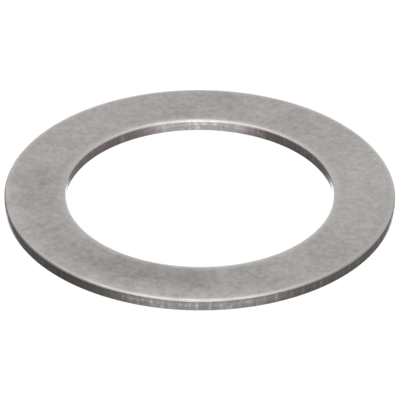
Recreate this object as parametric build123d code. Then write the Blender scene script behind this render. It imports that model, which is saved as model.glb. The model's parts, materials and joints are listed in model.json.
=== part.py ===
from build123d import *
import os

# A shim ring blanked from cold-rolled sheet steel, in millimetres.
# The origin is the centre of the underside, and +Z is the ring's own axis.

# The ring as it is ordered
outside_diameter = 32.0
bore_diameter = 22.0
sheet_thickness = 1.0

# Die roll: the tool draws both edges of the top face down before it cuts them
outside_roll_width = 1.6
bore_roll_width = 1.0
roll_depth = 0.05
lip_radius = 0.12

# Sheared edges, below the roll: a clean cut band at the ordered diameter, and under
# it a torn band that falls back by the clearance between punch and die
clean_cut_height = 0.45
die_clearance = 0.04

# Tumbling takes the burr off and leaves the two bottom corners slightly round
corner_radius = 0.06

bore_radius = bore_diameter / 2
outside_radius = outside_diameter / 2
lip_height = sheet_thickness - roll_depth
tear_height = lip_height - clean_cut_height


def ring_section():
    """The ring's cross-section to one side of the axis, drawn once round from the underside."""
    with BuildSketch(Plane.XZ) as section:
        with BuildLine():
            underside = Line((bore_radius + die_clearance, 0), (outside_radius - die_clearance, 0))
            outside_tear = Line(underside @ 1, (outside_radius, tear_height))
            outside_cut = Line(outside_tear @ 1, (outside_radius, lip_height))
            top_face = Line(
                (outside_radius - outside_roll_width, sheet_thickness),
                (bore_radius + bore_roll_width, sheet_thickness),
            )
            TangentArc(top_face @ 0, outside_cut @ 1, tangent=(1, 0))
            bore_roll = TangentArc(top_face @ 1, (bore_radius, lip_height), tangent=(-1, 0))
            bore_cut = Line(bore_roll @ 1, (bore_radius, tear_height))
            Line(bore_cut @ 1, underside @ 0)
        make_face()
        fillet(section.vertices().group_by(Axis.Y)[0], corner_radius)
        fillet(section.vertices().group_by(Axis.Y)[-2], lip_radius)
    return section.sketch


def shim_ring():
    """The whole ring: its section turned once round the axis."""
    return revolve(ring_section(), Axis.Z)


os.makedirs("parts", exist_ok=True)
export_step(shim_ring(), "parts/shim_ring.step")
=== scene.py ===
import json
import math
import random

import bmesh
import bpy
from mathutils import Euler, Matrix, Vector


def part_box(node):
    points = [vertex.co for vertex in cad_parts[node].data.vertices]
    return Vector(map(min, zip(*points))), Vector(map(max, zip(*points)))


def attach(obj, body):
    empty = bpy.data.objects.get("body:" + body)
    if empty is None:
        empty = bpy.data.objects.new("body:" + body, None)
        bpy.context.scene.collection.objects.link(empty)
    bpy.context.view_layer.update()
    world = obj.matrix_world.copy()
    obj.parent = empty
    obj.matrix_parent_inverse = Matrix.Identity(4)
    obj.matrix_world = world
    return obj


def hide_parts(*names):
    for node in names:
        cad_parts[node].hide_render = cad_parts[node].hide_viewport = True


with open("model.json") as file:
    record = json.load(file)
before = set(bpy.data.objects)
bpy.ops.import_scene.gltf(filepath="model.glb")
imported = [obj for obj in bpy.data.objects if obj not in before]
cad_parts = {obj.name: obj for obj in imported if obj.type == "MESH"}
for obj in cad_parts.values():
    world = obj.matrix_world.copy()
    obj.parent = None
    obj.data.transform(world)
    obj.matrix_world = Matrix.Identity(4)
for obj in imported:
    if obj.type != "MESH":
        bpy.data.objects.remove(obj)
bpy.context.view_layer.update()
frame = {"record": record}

bl_info = {
    "name": "Shim ring",
    "version": (1, 0, 0),
    "blender": (4, 5, 0),
    "location": "3D View > Sidebar > Shim ring",
    "description": "Models a stamped and tumbled steel shim ring and the small studio it stands in",
    "category": "Add Mesh",
}

MM = 0.001
FULL_TURN = 2 * math.pi
ring_low, ring_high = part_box("shim_ring")
mounts = {mount["name"]: mount["dims"] for mount in frame["record"]["mounts"]}

# Lengths that differ by less than a tenth of a micrometre are the same
SAME = 1e-7

# How finely the ring is divided. A crowding over 1 brings the roll's stations together towards the lip
SECTORS = 8
STEPS_PER_SECTOR = 160
ROLL_STATIONS = 9
STATION_CROWDING = 1.3
LIP_SEGMENTS = 7
CORNER_SEGMENTS = 4
UNDERSIDE_LOOP = 0.25 * MM

# Raised marks on the walls. The scattered ones: how many, and between which azimuths in degrees
MARK_HEIGHT = 0.008 * MM
CHANCE_SEED = 4
RIM_SCATTER = (70, 60, 320)
BORE_SCATTER = (40, -155, 155)

# Patches on the top face, darker towards the front; the lighter arcs along the front-left rim are a painted
# highlight on its roll. Place in mm from the axis, how far each reaches, and how dark or light it is
FACE_PATCHES_AND_RIM_HIGHLIGHT = (
    (-9.8, -9.5, 3.2, -0.16), (-6.5, -11.3, 3.4, -0.22), (-3.4, -12.3, 3.0, -0.22),
    (-0.2, -13.0, 3.0, -0.21), (4.4, -12.7, 3.0, -0.10), (10.3, -9.4, 3.2, -0.08),
    (-13.3, 1.9, 3.2, -0.12), (-13.6, -1.2, 3.0, -0.10), (-12.6, -6.0, 3.0, -0.10),
    (2.0, 14.4, 2.6, -0.10), (-1.8, 12.8, 2.8, -0.06), (8.0, 11.5, 2.8, -0.05),
    (13.2, 1.7, 4.5, 0.10), (13.4, 5.4, 3.4, 0.06), (12.7, -3.4, 3.6, 0.07),
    (-9.0, 10.8, 3.4, 0.05), (-12.6, 5.2, 2.8, 0.06), (5.4, 12.8, 2.6, 0.06),
    (7.8, -9.8, 2.2, 0.05), (-15.3, 3.4, 2.0, 0.12), (-15.7, 0.0, 2.4, 0.16),
    (-15.2, -4.0, 2.4, 0.14), (-13.5, -7.8, 2.6, 0.13), (-11.0, -11.0, 2.6, 0.13),
    (-7.8, -13.5, 2.6, 0.16), (-4.0, -15.1, 2.6, 0.14), (0.0, -15.6, 2.6, 0.14),
    (4.0, -15.1, 2.4, 0.10),
)

# How far, in mm, the outlines of the patches and the specks wander
PATCH_WANDER = 2.4
SPECK_WANDER = 0.8

# Scratches on the top face: the turn of each set about the axis, and where its pattern is read
SCRATCHES = ((0.25, 3.0), (1.4, 11.0), (2.5, 23.0))

# Marks on the cut walls: azimuth and half width in degrees, height and half height in mm, and strength
RIM_MARKS = (
    (-22.5, 0.30, 0.42, 0.30, 0.8), (-19.9, 0.90, 0.55, 0.12, 0.8), (-18.2, 0.40, 0.34, 0.12, 0.5),
    (-16.5, 0.70, 0.60, 0.12, 0.6), (-13.8, 0.35, 0.50, 0.36, 1.0), (-13.1, 0.80, 0.16, 0.12, 0.7),
    (-10.7, 0.90, 0.22, 0.12, 0.6), (-8.6, 0.80, 0.32, 0.12, 0.5), (-5.4, 0.30, 0.50, 0.24, 0.7),
    (-3.9, 0.30, 0.45, 0.22, 0.6), (-2.8, 0.30, 0.50, 0.26, 0.8), (-0.7, 0.42, 0.48, 0.36, 1.0),
    (1.8, 0.90, 0.36, 0.12, 0.4), (6.2, 0.35, 0.45, 0.30, 0.6), (8.5, 0.90, 0.28, 0.12, 0.6),
    (11.2, 0.35, 0.42, 0.24, 0.4), (14.2, 1.20, 0.60, 0.30, 0.4), (16.8, 0.50, 0.34, 0.18, 0.5),
    (22.7, 0.40, 0.52, 0.46, 1.0), (25.6, 0.80, 0.76, 0.12, 0.5), (27.7, 0.30, 0.48, 0.36, 0.7),
    (31.4, 0.30, 0.50, 0.40, 0.6), (34.3, 0.30, 0.50, 0.36, 0.4), (35.4, 0.30, 0.45, 0.36, 0.5),
    (37.5, 0.35, 0.52, 0.44, 0.9), (49.0, 0.35, 0.50, 0.40, 0.6), (53.0, 0.35, 0.50, 0.40, 0.5),
)
BORE_MARKS = (
    (-175.3, 1.30, 0.62, 0.12, 0.9), (-178.3, 1.40, 0.68, 0.12, 0.8), (178.2, 1.90, 0.72, 0.12, 0.8),
    (173.7, 1.60, 0.64, 0.12, 0.7), (-167.7, 1.20, 0.34, 0.12, 0.4), (-179.0, 1.30, 0.24, 0.12, 0.5),
    (-163.9, 0.50, 0.40, 0.40, 0.4), (169.0, 1.20, 0.36, 0.12, 0.3), (161.5, 0.60, 0.45, 0.40, 0.3),
)

# Shades that the steel's and the room's colours are multiplied by
WHITE = (1.0, 1.0, 1.0, 1.0)
COOL_STEEL = (0.985, 1.0, 1.006, 1.0)
WARM_STEEL = (1.013, 0.997, 0.994, 1.0)
GREEN_TARNISH = (0.992, 1.010, 0.990, 1.0)
PINK_TARNISH = (1.008, 0.990, 1.010, 1.0)
# The tint of the painted highlight on the polished rolls, which makes their colour more neutral
POLISHED_HIGHLIGHT_TINT = (0.985, 1.0, 1.012, 1.0)
WARM_DARK = (1.0, 0.93, 0.92, 1.0)

# The steel's fine relief
RELIEF_DEPTH = 0.01 * MM
RELIEF_STRENGTH = 0.25

# The floor, and how near and far the camera sees, in metres
FLOOR_SIZE = 4.0
FLOOR_COLOUR = (0.8, 0.8, 0.8, 1.0)
FLOOR_SHADOW_COLOUR = (0.2, 0.2, 0.2, 1.0)
NEAREST_SEEN = 0.01
FARTHEST_SEEN = 10.0


# ------------------------------------------------------------------ sizes, colours and studio


def length(name, description, default):
    """A length in metres that the sidebar shows in the scene's units."""
    return bpy.props.FloatProperty(
        name=name, description=description, default=default, min=0, unit="LENGTH", precision=5
    )


def angle(name, description, default):
    """An angle, given in degrees."""
    return bpy.props.FloatProperty(
        name=name, description=description, default=math.radians(default), subtype="ANGLE"
    )


def colour(name, description, default):
    """A linear colour."""
    return bpy.props.FloatVectorProperty(
        name=name, description=description, default=default, size=3, min=0, max=1, subtype="COLOR"
    )


class RingSizes(bpy.types.PropertyGroup):
    """What the ring measures, and the form that stamping and tumbling give its section."""

    bore_diameter: length(
        "Bore", "Diameter of the clean cut band in the bore", 2 * mounts["bore"]["r_mm"] * MM
    )
    outside_diameter: length(
        "Outside", "Diameter of the clean cut band round the rim", 2 * mounts["rim"]["r_mm"] * MM
    )
    thickness: length("Thickness", "Height of the top face over the underside", ring_high[2] - ring_low[2])
    outside_roll_width: length(
        "Outside roll", "How far in from the rim the top face starts to fall", 1.6 * MM
    )
    bore_roll_width: length("Bore roll", "How far out from the bore the top face starts to fall", 1.6 * MM)
    outside_roll_depth: length("Outside fall", "How far the top face falls towards the rim", 0.05 * MM)
    bore_roll_depth: length("Bore fall", "How far the top face falls towards the bore", 0.05 * MM)
    outside_lip: length("Outside lip", "Rounding between the top face and the cut rim", 0.14 * MM)
    bore_lip: length("Bore lip", "Rounding between the top face and the cut bore", 0.07 * MM)
    clean_cut_height: length("Clean cut", "Height of the smooth band under the lip", 0.45 * MM)
    outside_break: length("Outside break", "How far the torn band round the rim falls back", 0.07 * MM)
    bore_break: length("Bore break", "How far the torn band in the bore falls back", 0.03 * MM)
    corner_radius: length("Corner radius", "Rounding of the two bottom corners", 0.04 * MM)


class SteelColours(bpy.types.PropertyGroup):
    """The colours of the steel's three finishes."""

    face: colour("Tumbled face", "Colour of the top face and the underside", (0.3585, 0.3405, 0.328))
    rim_wall: colour("Rim wall", "Colour of the cut wall round the rim", (0.318, 0.308, 0.296))
    bore_wall: colour("Bore wall", "Colour of the cut wall in the bore", (0.452, 0.430, 0.416))


class StudioSettings(bpy.types.PropertyGroup):
    """Where the camera stands, what it sees, and how bright the lamps and the floor are."""

    camera_distance: length("Camera distance", "From the middle of the ring to the camera", 449.6 * MM)
    camera_elevation: angle("Camera elevation", "Height of the camera over the horizon, as an angle", 32.914)
    camera_roll: angle("Camera roll", "How far the camera leans about its own axis", 0.2415)
    camera_lens: bpy.props.FloatProperty(
        name="Focal length", description="Focal length of the camera", default=493.4, unit="CAMERA"
    )
    aim_aside: length("Aim aside", "How far to the right of the axis the camera looks", 0.025 * MM)
    aim_height: length("Aim height", "Height over the underside at which the camera looks", 0.18 * MM)
    overhead_radiance: bpy.props.FloatProperty(
        name="Overhead softbox", description="Brightness of the softbox behind and above", default=1.0, min=0
    )
    front_radiance: bpy.props.FloatProperty(
        name="Front softbox", description="Brightness of the low softbox in front", default=3.0, min=0
    )
    floor_glow: bpy.props.FloatProperty(
        name="Floor glow", description="Brightness that the floor shows of its own", default=0.88, min=0
    )


# ------------------------------------------------------------------ modelling helpers


def pick(wanted):
    """Selects, in the mesh open in edit mode, the vertices whose place passes a test, and nothing else."""
    mesh = bpy.context.edit_object.data
    opened = bmesh.from_edit_mesh(mesh)
    bpy.ops.mesh.select_all(action="DESELECT")
    for vertex in opened.verts:
        vertex.select = bool(wanted(vertex.co))
    opened.select_flush(True)
    bmesh.update_edit_mesh(mesh)


def cut(place, normal, wanted):
    """Cuts the edges between the vertices whose place passes a test, where a plane crosses them."""
    pick(wanted)
    bpy.ops.mesh.bisect(plane_co=place, plane_no=normal)


def near(a, b):
    """Whether two lengths are the same."""
    return abs(a - b) < SAME


# ------------------------------------------------------------------ the ring


def roll_drop(share, depth):
    """How far the rolled top face has fallen, at a share of the way from the flat to the lip.

    The fall starts softly and steepens towards the lip, as the tool draws the sheet down.
    """
    return depth * (0.2 * share**2 + 0.8 * share**6)


def draw_block(inner, outer, top):
    """A plain rectangle of edges over the +X axis, open in edit mode."""
    middle = ((inner + outer) / 2, 0, top / 2)
    bpy.ops.mesh.primitive_plane_add(size=1.0, location=middle, rotation=(math.pi / 2, 0, 0))
    block = bpy.context.object
    bpy.ops.object.transform_apply(location=True, rotation=True, scale=True)
    bpy.ops.object.mode_set(mode="EDIT")
    bpy.ops.mesh.select_all(action="SELECT")
    bpy.ops.transform.resize(value=(outer - inner, 1, top), center_override=middle)
    bpy.ops.mesh.delete(type="ONLY_FACE")
    return block


def roll_face(wall, inward, width, depth, top):
    """Lets the top face fall towards one wall, in stations that lie closer together towards the lip."""
    stations = [width * (1 - i / ROLL_STATIONS) ** STATION_CROWDING for i in range(ROLL_STATIONS)]
    for away in stations:
        cut((wall + inward * away, 0, 0), (1, 0, 0), lambda co: near(co.z, top))
    for away in stations:
        pick(lambda co: near(co.z, top) and near(co.x, wall + inward * away))
        bpy.ops.transform.translate(value=(0, 0, -roll_drop(1 - away / width, depth)))
    pick(lambda co: near(co.z, top) and near(co.x, wall))
    bpy.ops.transform.translate(value=(0, 0, -depth))


def shear_wall(wall, inward, lip, lip_radius, tear, fall_back, corner_radius):
    """Shapes one wall: the clean cut stops at the tear, and below it the wall falls back."""
    cut((0, 0, tear), (0, 0, 1), lambda co: near(co.x, wall))
    pick(lambda co: near(co.x, wall) and near(co.z, 0))
    bpy.ops.transform.translate(value=(inward * fall_back, 0, 0))
    foot = wall + inward * fall_back
    pick(lambda co: near(co.x, foot) and near(co.z, 0))
    bpy.ops.mesh.bevel(offset=corner_radius, segments=CORNER_SEGMENTS, affect="VERTICES")
    pick(lambda co: near(co.x, wall) and near(co.z, lip))
    bpy.ops.mesh.bevel(offset=lip_radius, segments=LIP_SEGMENTS, affect="VERTICES")
    # loops that let the marks rise and fall over the two bands
    for share in (0.25, 0.5, 0.75):
        cut((0, 0, tear + share * (lip - lip_radius - tear)), (0, 0, 1),
            lambda co: abs(co.x - wall) < 2 * fall_back and co.z > tear / 2)
    for share in (0.2, 0.4, 0.6, 0.8):
        cut((0, 0, corner_radius + share * (tear - corner_radius)), (0, 0, 1),
            lambda co: abs(co.x - wall) < 2 * fall_back and co.z < tear + 10 * SAME)


def draw_section(sizes):
    """The ring's section as a closed loop of edges that stands over the +X axis."""
    inner, outer = sizes.bore_diameter / 2, sizes.outside_diameter / 2
    top = sizes.thickness
    section = draw_block(inner, outer, top)
    roll_face(outer, -1, sizes.outside_roll_width, sizes.outside_roll_depth, top)
    roll_face(inner, 1, sizes.bore_roll_width, sizes.bore_roll_depth, top)
    for wall, inward, roll_depth, lip_radius, fall_back in (
        (outer, -1, sizes.outside_roll_depth, sizes.outside_lip, sizes.outside_break),
        (inner, 1, sizes.bore_roll_depth, sizes.bore_lip, sizes.bore_break),
    ):
        lip = top - roll_depth
        tear = lip - sizes.clean_cut_height
        shear_wall(wall, inward, lip, lip_radius, tear, fall_back, sizes.corner_radius)
    # loops that hold the underside flat next to its round corners
    for radius in (inner + UNDERSIDE_LOOP, outer - UNDERSIDE_LOOP):
        cut((radius, 0, 0), (1, 0, 0), lambda co: near(co.z, 0))
    return section


def spin_section(section):
    """Turns the section once round the axis: one sector is spun, then repeated."""
    sector = FULL_TURN / SECTORS
    axis = {"center": (0, 0, 0), "axis": (0, 0, 1)}
    bpy.ops.mesh.select_all(action="SELECT")
    bpy.ops.mesh.spin(steps=STEPS_PER_SECTOR, angle=sector, **axis)
    bpy.ops.mesh.select_all(action="SELECT")
    bpy.ops.mesh.spin(steps=SECTORS - 1, dupli=True, angle=FULL_TURN - sector, **axis)
    bpy.ops.mesh.select_all(action="SELECT")
    bpy.ops.mesh.remove_doubles(threshold=SAME)
    bpy.ops.mesh.normals_make_consistent(inside=False)
    bpy.ops.object.mode_set(mode="OBJECT")
    bpy.ops.object.shade_smooth()
    section.name = "ring"
    return section


def mark_strength(azimuth, height, marks):
    """How strongly the wall is marked at an azimuth and height."""
    strongest = 0.0
    for middle, half_width, level, half_height, strength in marks:
        aside = abs((azimuth - middle + 180) % 360 - 180) / half_width
        above = (height - level) / half_height
        strongest = max(strongest, strength * max(0.0, 1 - aside**2) * max(0.0, 1 - above**2))
    return strongest


def scattered_marks(chance, count, low, high):
    """Upright marks at random azimuths between two, in the same order of numbers as the others."""
    return tuple(
        (chance.uniform(low, high), chance.uniform(0.28, 0.45), chance.uniform(0.3, 0.65),
         chance.uniform(0.15, 0.45), chance.uniform(0.2, 0.8))
        for _ in range(count)
    )


def mark_walls(ring, sizes):
    """Marks the walls: the marks stand up by some micrometres, and the steel's colour follows them."""
    chance = random.Random(CHANCE_SEED)
    rim = RIM_MARKS + scattered_marks(chance, *RIM_SCATTER)
    bore = BORE_MARKS + scattered_marks(chance, *BORE_SCATTER)
    middle = (sizes.bore_diameter + sizes.outside_diameter) / 4
    highest = sizes.thickness - sizes.bore_roll_depth - sizes.bore_lip
    strengths = ring.data.attributes.new("wall_marks", "FLOAT", "POINT")
    group = ring.vertex_groups.new(name="wall_marks")
    for vertex, strength in zip(ring.data.vertices, strengths.data):
        x, y, z = vertex.co
        if sizes.corner_radius < z < highest:
            azimuth = math.degrees(math.atan2(x, -y))
            marks = rim if math.hypot(x, y) > middle else bore
            strength.value = mark_strength(azimuth, z / MM, marks)
            if strength.value > 0:
                group.add([vertex.index], strength.value, "REPLACE")
    raised = ring.modifiers.new("raised_marks", "DISPLACE")
    raised.vertex_group = "wall_marks"
    raised.mid_level = 0.0
    raised.strength = MARK_HEIGHT
    bpy.ops.object.modifier_apply(modifier="raised_marks")


# ------------------------------------------------------------------ materials


class Socket:
    """A shader node's output, on which arithmetic adds Math nodes."""

    def __init__(self, graph, output):
        self.graph = graph
        self.output = output

    def other(self, name):
        """Another output of the same node."""
        return Socket(self.graph, self.output.node.outputs[name])

    def math(self, operation, *others, swap=False):
        """A Math node on this value and others, the other way round if they are swapped."""
        values = [self, *others]
        if swap:
            values.reverse()
        return self.graph.add("ShaderNodeMath", {"operation": operation}, *values)

    def __add__(self, other):
        return self.math("ADD", other)

    __radd__ = __add__

    def __mul__(self, other):
        return self.math("MULTIPLY", other)

    __rmul__ = __mul__

    def __sub__(self, other):
        return self.math("SUBTRACT", other)

    def __rsub__(self, other):
        return self.math("SUBTRACT", other, swap=True)

    def __pow__(self, other):
        return self.math("POWER", other)

    def __rpow__(self, other):
        return self.math("POWER", other, swap=True)


class Graph:
    """A node tree that is built one node at a time."""

    def __init__(self, owner):
        owner.use_nodes = True
        self.tree = owner.node_tree
        self.tree.nodes.clear()

    def add(self, kind, settings, *values, output=None, **named):
        """Adds a node: its settings first, then the values or links of its sockets.

        Values without a name go to the inputs in use, in order. Gives the named output, or the first in use.
        """
        node = self.tree.nodes.new(kind)
        for name, value in settings.items():
            setattr(node, name, value)
        chosen = list(zip((socket for socket in node.inputs if socket.enabled), values))
        chosen += [(node.inputs[name.replace("_", " ")], value) for name, value in named.items()]
        for socket, value in chosen:
            if isinstance(value, Socket):
                self.tree.links.new(value.output, socket)
            else:
                socket.default_value = value
        if output is not None:
            return Socket(self, node.outputs[output])
        in_use = [socket for socket in node.outputs if socket.enabled]
        return Socket(self, in_use[0]) if in_use else None

    def vector(self, operation, *values):
        """A Vector Math node."""
        return self.add("ShaderNodeVectorMath", {"operation": operation}, *values)

    def split(self, vector):
        """The three numbers of a vector."""
        first = self.add("ShaderNodeSeparateXYZ", {}, vector)
        return first, first.other("Y"), first.other("Z")

    def ramp(self, value, low, high, to_low=0.0, to_high=1.0):
        """A value brought smoothly from one range to another, and held at its ends."""
        settings = {"interpolation_type": "SMOOTHSTEP"}
        return self.add("ShaderNodeMapRange", settings, value, low, high, to_low, to_high)

    def mix(self, share, first, second):
        """A colour between two."""
        return self.add("ShaderNodeMix", {"data_type": "RGBA"}, share, first, second)

    def noise(self, place, scale, detail=2.0, roughness=0.5, shift=None, stretch=None):
        """Soft noise from 0 to 1, with so many features to a millimetre, moved or stretched."""
        if shift:
            place = self.vector("ADD", place, shift)
        if stretch:
            place = self.vector("MULTIPLY", place, stretch)
        return self.add(
            "ShaderNodeTexNoise", {}, Vector=place, Scale=scale, Detail=detail, Roughness=roughness
        )


def patches_and_rim_highlight(graph, place, drift, top):
    """How much the patches, with the painted highlight along the front-left rim, darken or lighten the top
    face.
    """
    centre = PATCH_WANDER / 2
    warped = graph.vector("MULTIPLY_ADD", drift, (PATCH_WANDER,) * 3, place)
    patched = 0.0
    # Darker patches towards the front, and lighter arcs along the front-left rim that paint a highlight
    for x, y, reach, depth in FACE_PATCHES_AND_RIM_HIGHLIGHT:
        away = graph.vector("DISTANCE", warped, (x + centre, y + centre, top + centre))
        patched = patched + graph.ramp(away, 0.15 * reach, reach, depth, 0.0)
    return patched


def flecks(graph, place, drift):
    """Small specks, lighter or darker by chance."""
    warped = graph.vector("MULTIPLY_ADD", drift, (SPECK_WANDER,) * 3, place)
    away = graph.add("ShaderNodeTexVoronoi", {}, Vector=warped, Scale=1.1)
    red, green, _ = graph.split(away.other("Color"))
    speck = graph.ramp(away, 0.05, 0.16, 1.0, 0.0) * graph.ramp(red, 0.35, 0.6)
    return speck * (graph.ramp(green, 0.45, 0.55) - 0.5)


def scratching(graph, place):
    """Short scratches that run three ways."""
    scratches = 0.0
    for turn, shift in SCRATCHES:
        turned = graph.add(
            "ShaderNodeMapping", {}, Vector=place, Rotation=(0.0, 0.0, turn), Location=(shift, 0.0, 0.0)
        )
        lines = graph.noise(turned, 1.0, detail=1.0, stretch=(0.9, 8.0, 1.0))
        scratches = scratches + graph.ramp(lines, 0.66, 0.74)
    return scratches


def face_finish(graph, place, radius, level, colours, sizes):
    """The tumbled faces: their colour, relief and roughness.

    The tumbling media leave clouds, blots, grain, flecks and scratches. The rolls towards the walls are
    polished and smoother, and where the face tilts their colour is painted lighter, calmer and more neutral,
    a painted highlight.
    Next to the bore the face is painted lighter too, a painted highlight on the bore's roll.
    """
    drift = graph.noise(place, 0.7).other("Color")
    clouds = graph.noise(place, 0.9, detail=3.0, roughness=0.55) - 0.5
    blots = graph.noise(place, 2.2, shift=(0.0, 0.0, 30.0)) - 0.5
    grain = graph.noise(place, 4.5, detail=3.0, roughness=0.65) - 0.5
    scratches = scratching(graph, place)
    fleck = flecks(graph, place, drift)
    mottling = 0.66 * clouds + 0.58 * blots + 0.28 * grain + 0.36 * fleck + 0.14 * scratches

    # Polished rolls: smoother, and painted lighter and more neutral where the face tilts, a painted
    # highlight
    polish_and_highlight = graph.ramp(level, 0.9998, 0.997)
    bore_radius = sizes.bore_diameter / 2 / MM
    # A band next to the bore painted lighter, a painted highlight on the bore's roll
    bore_roll_highlight = graph.ramp(radius, bore_radius + 0.8, bore_radius + 0.3)
    patched = patches_and_rim_highlight(graph, place, drift, sizes.thickness / MM)
    # The tilted rolls and the band next to the bore are lightened here, painted highlights
    shade = 1 + patched + mottling * (1 - 0.6 * polish_and_highlight) + 0.16 * polish_and_highlight + 0.12 * bore_roll_highlight

    hue = graph.noise(place, 0.5, detail=3.0, roughness=0.6, shift=(40.0, 0.0, 0.0))
    warmth = graph.mix(graph.ramp(hue, 0.35, 0.65), COOL_STEEL, WARM_STEEL)
    tarnish = graph.noise(place, 0.5, detail=3.0, roughness=0.6, shift=(0.0, 70.0, 0.0))
    tint = graph.mix(graph.ramp(tarnish, 0.38, 0.62), GREEN_TARNISH, PINK_TARNISH)
    # The painted highlight's neutral tint on the rolls
    sheen = graph.mix(polish_and_highlight, WHITE, POLISHED_HIGHLIGHT_TINT)
    colour = graph.vector("MULTIPLY", warmth, tuple(colours.face))
    colour = graph.vector("MULTIPLY", colour, tint)
    colour = graph.vector("MULTIPLY", colour, sheen)

    relief = 0.6 * grain + 0.8 * clouds - 0.5 * scratches
    roughness = 0.31 - 0.20 * clouds - 0.10 * grain - 0.05 * scratches - 0.08 * polish_and_highlight
    return graph.vector("SCALE", colour, shade), relief, roughness


def wall_finish(graph, place, radius, height, colours, sizes):
    """The cut walls: their colour, relief, and how much rougher they are than the faces.

    The smooth band lies over the torn one, and the tool has scored marks down both. Round the rim the wall
    is darkened just under the lip, a painted shade, and the top of the bore's wall is painted lighter, a
    painted highlight.
    """
    clouds = graph.noise(place, 2.6, detail=3.0, roughness=0.6, stretch=(1.0, 1.0, 0.35)) - 0.5
    grain = graph.noise(place, 4.0, detail=3.0, roughness=0.7, stretch=(1.0, 1.0, 2.2)) - 0.5
    streaks = graph.ramp(graph.noise(place, 5.0, stretch=(1.0, 1.0, 0.06)), 0.60, 0.72)
    scored = graph.add("ShaderNodeAttribute", {"attribute_name": "wall_marks"}, output="Fac")

    tear = (sizes.thickness - sizes.outside_roll_depth - sizes.clean_cut_height) / MM
    ragged = height + 0.5 * clouds
    torn = 1 - graph.ramp(ragged, tear - 0.03, tear + 0.03)
    edge = graph.ramp((ragged - tear).math("ABSOLUTE"), 0.0, 0.07, 1.0, 0.0)
    broken = graph.ramp(graph.noise(place, 1.7), 0.46, 0.58)
    bore_diameter = sizes.bore_diameter / MM
    in_bore = 1 - graph.ramp(radius, 0.55 * bore_diameter, 0.65 * bore_diameter)
    # A band just under the rim's lip darkened, a painted shade
    painted_shade_under_lip = graph.ramp((height - tear - 0.35).math("ABSOLUTE"), 0.03, 0.09, 1.0, 0.0)
    # The top of the bore's wall painted lighter, a painted highlight under the bore's lip
    bore_wall_highlight = graph.ramp(height, tear + 0.30, tear + 0.38) * in_bore

    shade = 1 - 0.1 * torn + 0.7 * clouds + (0.3 + 0.6 * torn) * grain + 0.35 * edge * broken
    shade = shade + 0.9 * scored + (0.4 - 0.25 * in_bore) * streaks
    shade = shade - 0.20 * painted_shade_under_lip * (1 - in_bore) + 0.9 * bore_wall_highlight
    colour = graph.mix(in_bore, (*colours.rim_wall, 1.0), (*colours.bore_wall, 1.0))
    relief = 2.0 * grain + clouds
    rougher = 0.10 + 0.06 * torn - 0.07 * in_bore
    return graph.vector("SCALE", colour, shade), relief, rougher


def steel(colours, sizes):
    """Tumbled steel on the faces, and darker, scored steel on the two cut walls."""
    material = bpy.data.materials.new("tumbled_steel")
    graph = Graph(material)
    place = graph.vector("SCALE", graph.add("ShaderNodeTexCoord", {}, output="Object"), 1 / MM)
    across, along, height = graph.split(place)
    radius = (across * across + along * along) ** 0.5
    _, _, upright = graph.split(graph.add("ShaderNodeNewGeometry", {}, output="Normal"))
    level = upright.math("ABSOLUTE")
    wall = 1 - graph.ramp(level, 0.35, 0.75)
    face_colour, face_relief, face_roughness = face_finish(graph, place, radius, level, colours, sizes)
    wall_colour, wall_relief, wall_rougher = wall_finish(graph, place, radius, height, colours, sizes)
    bump = graph.add(
        "ShaderNodeBump", {},
        Strength=RELIEF_STRENGTH,
        Distance=RELIEF_DEPTH,
        Height=face_relief + wall * wall_relief,
    )
    shader = graph.add(
        "ShaderNodeBsdfPrincipled", {},
        Base_Color=graph.mix(wall, face_colour, wall_colour),
        Metallic=1.0,
        Roughness=face_roughness + wall * wall_rougher,
        Normal=bump,
    )
    graph.add("ShaderNodeOutputMaterial", {}, shader)
    return material


# ------------------------------------------------------------------ the studio


def white_floor(brightness):
    """A pale floor that is white behind the ring and keeps its shadow, and that the steel sees through."""
    material = bpy.data.materials.new("white_floor")
    material.cycles.emission_sampling = "NONE"
    graph = Graph(material)
    to_camera = graph.add("ShaderNodeLightPath", {}, output="Is Camera Ray")
    to_steel = to_camera.other("Is Glossy Ray")
    shown = to_camera.math("MAXIMUM", to_camera.other("Is Transmission Ray"))
    plain = graph.add("ShaderNodeBsdfDiffuse", {}, Color=FLOOR_COLOUR)
    glow = graph.add("ShaderNodeEmission", {}, Color=WHITE, Strength=brightness)
    shadowed = graph.add("ShaderNodeBsdfDiffuse", {}, Color=FLOOR_SHADOW_COLOUR)
    lit = graph.add("ShaderNodeAddShader", {}, glow, shadowed)
    seen = graph.add("ShaderNodeMixShader", {}, shown, plain, lit)
    clear = graph.add("ShaderNodeBsdfTransparent", {})
    graph.add("ShaderNodeOutputMaterial", {}, graph.add("ShaderNodeMixShader", {}, to_steel, seen, clear))
    return material


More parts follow.
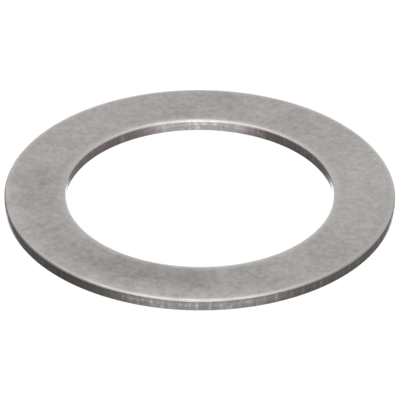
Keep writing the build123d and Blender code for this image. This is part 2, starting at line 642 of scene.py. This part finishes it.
def room(world):
    """The room that the steel mirrors, shaded by direction: white round the horizon, less bright above.

    Across grows to the right, along grows to the back, and the horizon is at height 0. The steel sees
    what lies under the horizon through the floor. It is dark there at both sides, in a belt just below
    the horizon, and at the back, where a white strip is left in the middle. Over the horizon a bright
    sheet stands on each side of the back, and the low part between them is brighter. It is bright
    overhead and high in front, and dimmer at the left.
    """
    graph = Graph(world)
    across, along, height = graph.split(graph.add("ShaderNodeTexCoord", {}, output="Generated"))
    beside = across.math("ABSOLUTE")
    off_strip = (across + 0.02).math("ABSOLUTE")
    behind = graph.ramp(along, 0.50, 0.70)

    aside = beside - 0.42 * height + 0.15 * along
    sides = graph.ramp(aside, 0.55, 0.87) * graph.ramp(height, 0.04, -0.08)
    belt = graph.ramp(height, 0.08, -0.02) * graph.ramp(height, -0.38, -0.24)
    back = graph.ramp(along, -0.20, 0.20) * graph.ramp(height, 0.06, -0.04)
    back = back * graph.ramp(off_strip, 0.24, 0.34)
    dark = sides.math("MAXIMUM", belt).math("MAXIMUM", back)
    left = graph.ramp(across, -0.30, -0.50) * graph.ramp(height, -0.05, 0.05)

    strip = behind * graph.ramp(height, -0.38, -0.46) * graph.ramp(off_strip, 0.34, 0.24)
    sheet = graph.ramp(beside, 0.02, 0.12) * behind * graph.ramp(height, 0.05, 0.15)
    low_back = behind * graph.ramp(height, 0.48, 0.25) * graph.ramp(beside, 0.45, 0.25)
    high_front = graph.ramp(along, 0.10, -0.10) * graph.ramp(height, 0.10, 0.30)
    overhead = high_front.math("MAXIMUM", graph.ramp(height + 0.25 * along, 0.88, 1.00))
    overhead = overhead * graph.ramp(beside + 0.25 * across, 0.75, 0.45)

    strength = graph.ramp(height, 0.10, 0.50, 1.0, 0.70) + 0.22 * sheet + 0.8 * low_back
    strength = strength + 0.9 * overhead + 0.8 * strip
    strength = strength * (1 - 0.42 * left) * (1 - (0.75 - 0.07 * across) * dark)
    tint = graph.mix(dark, WHITE, WARM_DARK)
    background = graph.add("ShaderNodeBackground", {}, Color=tint, Strength=strength)
    graph.add("ShaderNodeOutputWorld", {}, background)


def softbox(name, azimuth, elevation, distance, width, height, radiance):
    """An area lamp that hangs at an azimuth and elevation round the ring and faces it.

    Azimuth 0 is the front, towards -Y, and grows to the right. Radiance is the lamp's own brightness.
    """
    lamp = bpy.data.lights.new(name, "AREA")
    lamp.shape = "RECTANGLE"
    lamp.size = width
    lamp.size_y = height
    lamp.energy = radiance * math.pi * width * height
    holder = bpy.data.objects.new(name, lamp)
    turn = math.radians(azimuth)
    rise = math.radians(elevation)
    away = Vector((math.sin(turn) * math.cos(rise), -math.cos(turn) * math.cos(rise), math.sin(rise)))
    holder.location = away * distance
    holder.rotation_euler = away.to_track_quat("Z", "Y").to_euler()
    holder.visible_camera = False
    bpy.context.scene.collection.objects.link(holder)


def camera(studio):
    """The camera, level with the ring's front and leaning by its small roll."""
    lens = bpy.data.cameras.new("camera")
    lens.lens = studio.camera_lens
    lens.clip_start = NEAREST_SEEN
    lens.clip_end = FARTHEST_SEEN
    holder = bpy.data.objects.new("camera", lens)
    aim = Vector((studio.aim_aside, 0, studio.aim_height))
    back = Vector((0, -math.cos(studio.camera_elevation), math.sin(studio.camera_elevation)))
    holder.location = aim + back * studio.camera_distance
    level = Euler((math.pi / 2 - studio.camera_elevation, 0, 0)).to_matrix()
    holder.rotation_euler = (level @ Matrix.Rotation(studio.camera_roll, 3, "Z")).to_euler()
    bpy.context.scene.collection.objects.link(holder)
    bpy.context.scene.camera = holder


# ------------------------------------------------------------------ operators, panel


class SHIMRING_OT_ring(bpy.types.Operator):
    """Model the ring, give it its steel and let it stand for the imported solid"""

    bl_idname = "shim_ring.ring"
    bl_label = "Model the ring"
    bl_options = {"REGISTER", "UNDO"}

    def execute(self, context):
        bpy.ops.object.select_all(action="DESELECT")
        sizes = context.scene.ring_sizes
        ring = spin_section(draw_section(sizes))
        mark_walls(ring, sizes)
        ring.data.materials.append(steel(context.scene.steel_colours, sizes))
        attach(ring, "root")
        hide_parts("shim_ring")
        return {"FINISHED"}


class SHIMRING_OT_studio(bpy.types.Operator):
    """Lay the floor, hang the softboxes and set up the camera"""

    bl_idname = "shim_ring.studio"
    bl_label = "Set up the studio"
    bl_options = {"REGISTER", "UNDO"}

    def execute(self, context):
        scene = context.scene
        studio = scene.studio
        bpy.ops.object.select_all(action="DESELECT")
        bpy.ops.mesh.primitive_plane_add(size=FLOOR_SIZE, location=(0, 0, 0))
        floor = context.object
        floor.name = "floor"
        floor.data.materials.append(white_floor(studio.floor_glow))
        scene.world = bpy.data.worlds.new("room")
        room(scene.world)
        softbox(
            "overhead_softbox", azimuth=182, elevation=56, distance=0.80, width=0.18, height=0.38,
            radiance=studio.overhead_radiance,
        )
        softbox(
            "front_softbox", azimuth=0, elevation=12, distance=0.60, width=0.30, height=0.16,
            radiance=studio.front_radiance,
        )
        camera(studio)
        scene.view_settings.view_transform = "Standard"
        return {"FINISHED"}


class SHIMRING_PT_panel(bpy.types.Panel):
    """The steps and settings of the shim ring"""

    bl_label = "Shim ring"
    bl_idname = "SHIMRING_PT_panel"
    bl_space_type = "VIEW_3D"
    bl_region_type = "UI"
    bl_category = "Shim ring"

    def draw(self, context):
        for group in (context.scene.ring_sizes, context.scene.steel_colours, context.scene.studio):
            box = self.layout.box()
            for name in group.bl_rna.properties.keys():
                if name not in ("rna_type", "name"):
                    box.prop(group, name)
        self.layout.operator(SHIMRING_OT_ring.bl_idname)
        self.layout.operator(SHIMRING_OT_studio.bl_idname)


classes = (RingSizes, SteelColours, StudioSettings, SHIMRING_OT_ring, SHIMRING_OT_studio, SHIMRING_PT_panel)


def register():
    for kind in classes:
        bpy.utils.register_class(kind)
    bpy.types.Scene.ring_sizes = bpy.props.PointerProperty(type=RingSizes)
    bpy.types.Scene.steel_colours = bpy.props.PointerProperty(type=SteelColours)
    bpy.types.Scene.studio = bpy.props.PointerProperty(type=StudioSettings)


def unregister():
    del bpy.types.Scene.studio
    del bpy.types.Scene.steel_colours
    del bpy.types.Scene.ring_sizes
    for kind in reversed(classes):
        bpy.utils.unregister_class(kind)


def main():
    register()
    bpy.ops.shim_ring.ring()
    bpy.ops.shim_ring.studio()


if __name__ == "__main__":
    main()
